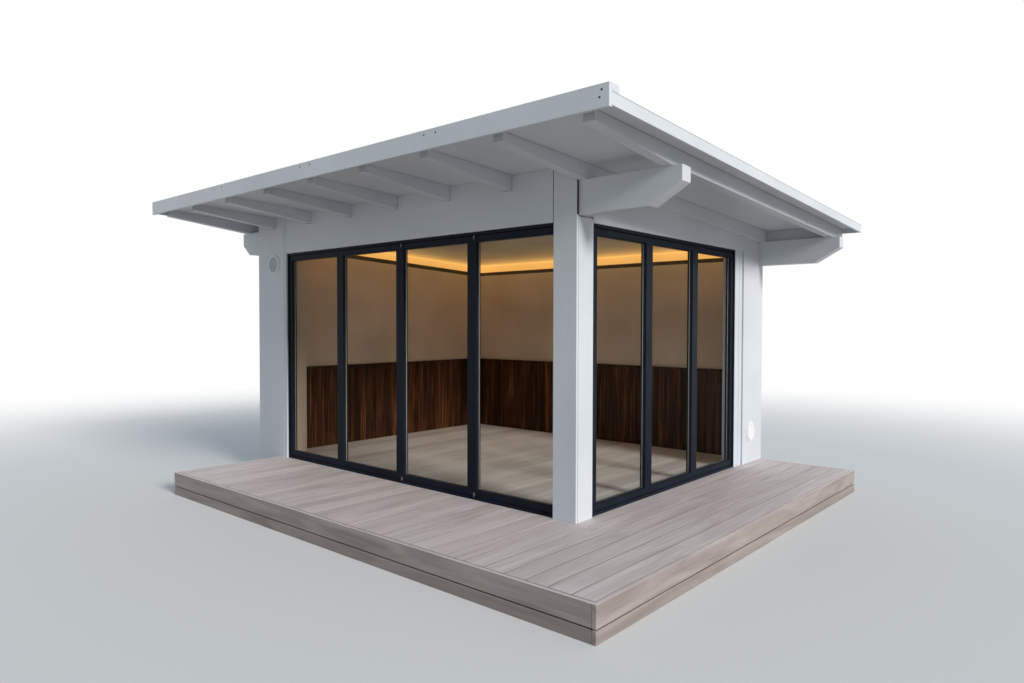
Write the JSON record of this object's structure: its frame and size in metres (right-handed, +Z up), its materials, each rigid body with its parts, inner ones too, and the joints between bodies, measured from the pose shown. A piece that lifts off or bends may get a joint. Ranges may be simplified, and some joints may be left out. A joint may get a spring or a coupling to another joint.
{
  "type": "garden office pod",
  "caption": "Flat-roofed garden room with folding glass doors on two sides, a timber deck and a wide roof overhang on exposed tapered rafters.",
  "frame": {"origin": "centre of the outline on the ground", "axes": "+Z up, -Y towards the front door wall, +X towards the right door wall"},
  "size_m": [5.471, 4.533, 2.8044],
  "materials": {
    "white_paint": "smooth satin paint",
    "door_metal": "dark grey powder coat",
    "glass": "clear",
    "deck_wood": "weathered boards",
    "deck_edge_wood": "weathered boards",
    "plain_wood": "sawn",
    "floor_wood": "pale planks",
    "wainscot_wood": "dark stained planks",
    "roof_sheet": "matt pale sheet",
    "vent_plastic": "matt"
  },
  "bodies": {
    "root": {"ceiling": "white_paint", "corner_front_board": "white_paint", "corner_post": "white_paint", "corner_side_board": "white_paint", "deck_joists": "plain_wood", "disc_vent": "vent_plastic", "door_hinges": "door_metal", "end_deck_fascias": "deck_edge_wood", "floor": "floor_wood", "floor_joists": "plain_wood", "front_beam": "white_paint", "front_deck": "deck_wood", "front_deck_fascia": "deck_edge_wood", "front_fascia": "white_paint", "front_head": "door_metal", "front_header": "white_paint", "front_jambs": "door_metal", "front_kerb": "white_paint", "front_leaf_1_frame": "door_metal", "front_leaf_1_glass": "glass", "front_leaf_2_frame": "door_metal", "front_leaf_2_glass": "glass", "front_leaf_3_frame": "door_metal", "front_leaf_3_glass": "glass", "front_leaf_4_frame": "door_metal", "front_leaf_4_glass": "glass", "front_lintel": "white_paint", "front_pier": "white_paint", "front_pier_facing": "white_paint", "front_pier_return": "white_paint", "front_sill": "door_metal", "left_wainscot": "wainscot_wood", "left_wall": "white_paint", "light_ledges": "white_paint", "rafters": "white_paint", "rear_beam": "white_paint", "rear_eaves_blocking": "white_paint", "rear_trim": "white_paint", "rear_wainscot": "wainscot_wood", "rear_wall": "white_paint", "right_door_trim": "white_paint", "right_head": "door_metal", "right_header": "white_paint", "right_jambs": "door_metal", "right_leaf_1_frame": "door_metal", "right_leaf_1_glass": "glass", "right_leaf_2_frame": "door_metal", "right_leaf_2_glass": "glass", "right_leaf_3_frame": "door_metal", "right_leaf_3_glass": "glass", "right_lintel": "white_paint", "right_pier": "white_paint", "right_pier_facing": "white_paint", "right_sill": "door_metal", "ring_vent": "vent_plastic", "roof_covering": "roof_sheet", "roof_deck": "white_paint", "side_deck": "deck_wood", "side_deck_fascia": "deck_edge_wood", "side_trims": "white_paint"}
  },
  "joints": []
}
